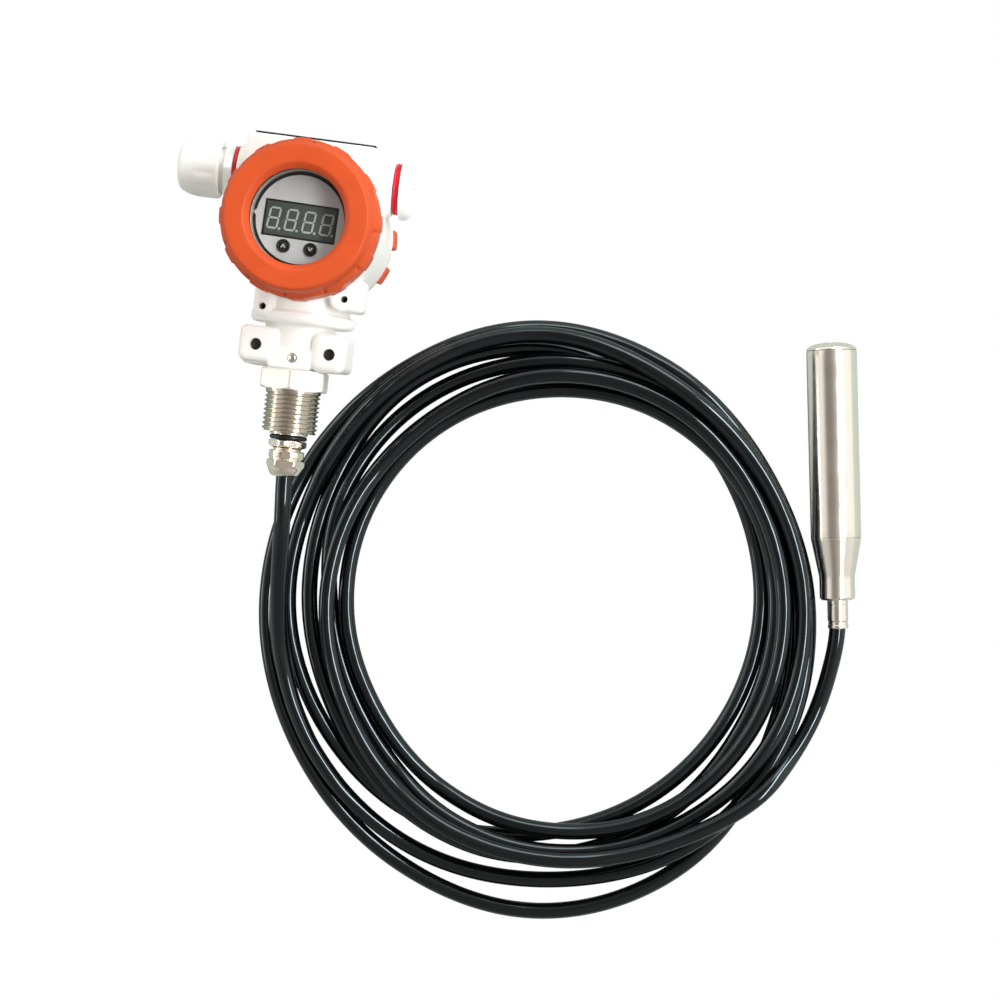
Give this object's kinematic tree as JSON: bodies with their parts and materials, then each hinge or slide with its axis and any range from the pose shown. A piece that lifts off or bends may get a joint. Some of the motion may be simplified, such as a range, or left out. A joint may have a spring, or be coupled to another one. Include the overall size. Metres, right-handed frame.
{
  "type": "submersible level transmitter",
  "caption": "Level transmitter with a two-cover housing, round display, side cable gland, coiled cable and a steel submersible probe.",
  "frame": {"origin": "centre of the rear cover's flat face, which the head lies on", "axes": "+Z along the drum's axis towards the display, -Y along the neck towards the cable, +X towards the blanking plug"},
  "size_m": [0.3547, 0.3733, 0.112],
  "materials": {
    "white_paint": "smooth satin powder coat",
    "orange_paint": "smooth satin powder coat",
    "black_rubber": "moulded, matt",
    "red_rubber": "moulded, satin",
    "glass": "flat and clear",
    "steel": "turned, with fine rings",
    "nickel": "nickel plate, smooth",
    "aluminium": "fine matt silver",
    "nylon": "moulded, satin",
    "smoked_plastic": "smooth, dark grey green",
    "circuit_board": "solder mask",
    "black_plastic": "moulded, matt",
    "potting": "cast resin",
    "cable_jacket": "extruded, glossy"
  },
  "bodies": {
    "head": {"housing_body": "white_paint", "nameplate": "black_plastic", "nameplate_rivet_left": "steel", "nameplate_rivet_right": "steel", "neck_set_screw": "steel", "process_connector": "steel", "gland_o_ring": "black_rubber", "gland_body": "nickel", "display_faceplate": "aluminium", "display_frame": "black_plastic", "display_block": "smoked_plastic", "button_collar_up": "black_plastic", "button_collar_down": "black_plastic", "display_board": "circuit_board", "board_spacer": "steel", "electronics_module": "potting", "terminal_block": "black_plastic", "terminal_screw_1": "steel", "terminal_screw_2": "steel", "terminal_screw_3": "steel", "side_gland_body": "nylon", "cable_lead": "cable_jacket", "cable_coil": "cable_jacket", "cable_tail": "cable_jacket", "probe_sleeve": "steel", "probe_cable_bush": "black_rubber", "probe_tail": "steel", "probe_tube": "steel", "probe_nose": "steel", "sensor_capsule": "steel", "sensor_o_ring": "black_rubber", "probe_circuit_board": "circuit_board", "side_gland_washer": "red_rubber"},
    "front_window_group": {"window_glass": "glass", "glass_retaining_ring": "steel", "front_cover_o_ring": "black_rubber"},
    "front_cover_ring": {"front_cover": "orange_paint"},
    "rear_seal_group": {"rear_cover_o_ring": "black_rubber"},
    "rear_cover_cap": {"rear_cover": "orange_paint"},
    "side_insert_group": {"side_gland_insert": "black_rubber"},
    "side_nut": {"side_gland_nut": "nylon"},
    "plug_washer": {"blanking_plug_washer": "red_rubber"},
    "plug": {"blanking_plug": "nylon"},
    "cable_grommet": {"gland_grommet": "black_rubber"},
    "cable_gland_nut": {"gland_nut": "nickel"},
    "button_up_cap": {"button_up": "black_plastic"},
    "button_down_cap": {"button_down": "black_plastic"}
  },
  "joints": [
    {"name": "front_cover_travel", "type": "slide", "parent": "head", "child": "front_window_group", "axis": [0, 0, 1], "range_m": [0, 0.0101]},
    {"name": "front_cover_turn", "type": "hinge", "parent": "front_window_group", "child": "front_cover_ring", "pos_m": [0, 0, 0.0856], "axis": [0, 0, 1], "range_deg": [0, 1800]},
    {"name": "rear_cover_travel", "type": "slide", "parent": "head", "child": "rear_seal_group", "axis": [0, 0, -1], "range_m": [0, 0.0101]},
    {"name": "rear_cover_turn", "type": "hinge", "parent": "rear_seal_group", "child": "rear_cover_cap", "pos_m": [0, 0, 0.017], "axis": [0, 0, -1], "range_deg": [0, 1800]},
    {"name": "side_nut_travel", "type": "slide", "parent": "head", "child": "side_insert_group", "axis": [-1, 0, 0], "range_m": [0, 0.0101]},
    {"name": "side_nut_turn", "type": "hinge", "parent": "side_insert_group", "child": "side_nut", "pos_m": [-0.05, 0.0233, 0.056], "axis": [-1, 0, 0], "range_deg": [0, 1800]},
    {"name": "plug_travel", "type": "slide", "parent": "head", "child": "plug_washer", "axis": [1, 0, 0], "range_m": [0, 0.0101]},
    {"name": "plug_turn", "type": "hinge", "parent": "plug_washer", "child": "plug", "pos_m": [0.04, 0.0233, 0.056], "axis": [1, 0, 0], "range_deg": [0, 1800]},
    {"name": "gland_nut_travel", "type": "slide", "parent": "head", "child": "cable_grommet", "axis": [0, -1, 0], "range_m": [0, 0.00404]},
    {"name": "gland_nut_turn", "type": "hinge", "parent": "cable_grommet", "child": "cable_gland_nut", "pos_m": [0, -0.112, 0.056], "axis": [0, -1, 0], "range_deg": [0, 1440]},
    {"name": "button_up_press", "type": "slide", "parent": "head", "child": "button_up_cap", "axis": [0, 0, -1], "range_m": [0, 0.0006], "stiffness_N_per_m": 150},
    {"name": "button_down_press", "type": "slide", "parent": "head", "child": "button_down_cap", "axis": [0, 0, -1], "range_m": [0, 0.0006], "stiffness_N_per_m": 150}
  ],
  "couplings": [
    {"joint": "front_cover_travel", "follows": "front_cover_turn", "m_per_rad": 0.00031831},
    {"joint": "rear_cover_travel", "follows": "rear_cover_turn", "m_per_rad": 0.00031831},
    {"joint": "side_nut_travel", "follows": "side_nut_turn", "m_per_rad": 0.00031831},
    {"joint": "plug_travel", "follows": "plug_turn", "m_per_rad": 0.00031831},
    {"joint": "gland_nut_travel", "follows": "gland_nut_turn", "m_per_rad": 0.00015915}
  ]
}
